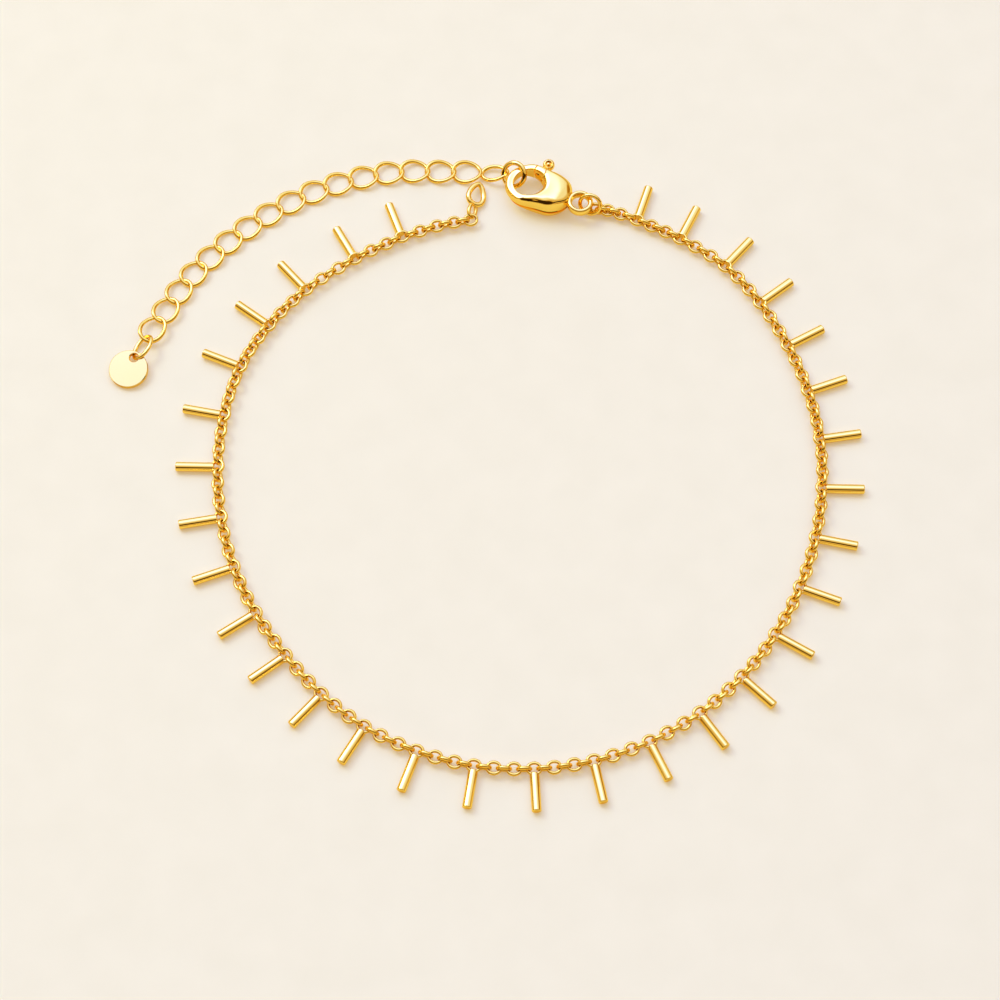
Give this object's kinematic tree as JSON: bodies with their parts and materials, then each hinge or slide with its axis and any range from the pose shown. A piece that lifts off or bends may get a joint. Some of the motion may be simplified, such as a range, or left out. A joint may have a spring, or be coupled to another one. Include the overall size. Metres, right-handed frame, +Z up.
{
  "type": "bracelet",
  "caption": "Fine gold-coloured chain bracelet with a fringe of plain round drop bars, a lobster clasp, and a link extender ending in a plain round tag.",
  "frame": {"origin": "middle of the object's footprint, on the surface that it lies on", "axes": "+Z up from that surface; +X across the loop towards the side away from the tag; +Y from the loop towards the clasp"},
  "size_m": [0.0763, 0.0724, 0.003],
  "materials": {
    "chain_gold": "polished gold plate",
    "bar_gold": "mirror polished gold plate",
    "finding_gold": "polished gold plate",
    "tag_gold": "mirror polished gold plate"
  },
  "bodies": {
    "bracelet": {"chain": "chain_gold", "bar_01": "bar_gold", "bar_02": "bar_gold", "bar_03": "bar_gold", "bar_04": "bar_gold", "bar_05": "bar_gold", "bar_06": "bar_gold", "bar_07": "bar_gold", "bar_08": "bar_gold", "bar_09": "bar_gold", "bar_10": "bar_gold", "bar_11": "bar_gold", "bar_12": "bar_gold", "bar_13": "bar_gold", "bar_14": "bar_gold", "bar_15": "bar_gold", "bar_16": "bar_gold", "bar_17": "bar_gold", "bar_18": "bar_gold", "bar_19": "bar_gold", "bar_20": "bar_gold", "bar_21": "bar_gold", "bar_22": "bar_gold", "bar_23": "bar_gold", "bar_24": "bar_gold", "bar_25": "bar_gold", "bar_26": "bar_gold", "bar_27": "bar_gold", "bar_28": "bar_gold", "bar_29": "bar_gold", "bar_30": "bar_gold", "bar_31": "bar_gold", "extender_chain": "chain_gold", "end_ring": "finding_gold", "clasp_jump_ring": "finding_gold", "chain_jump_ring": "finding_gold", "tag_link": "finding_gold", "tag_disc": "tag_gold", "clasp_body": "finding_gold"},
    "lever": {"clasp_lever": "finding_gold"}
  },
  "joints": [
    {"name": "clasp_lever_hinge", "type": "hinge", "parent": "bracelet", "child": "lever", "pos_m": [0.00716, 0.03283, 0.0015], "axis": [0, 0, 1], "range_deg": [0, 13], "stiffness_Nm_per_rad": 0.002}
  ]
}
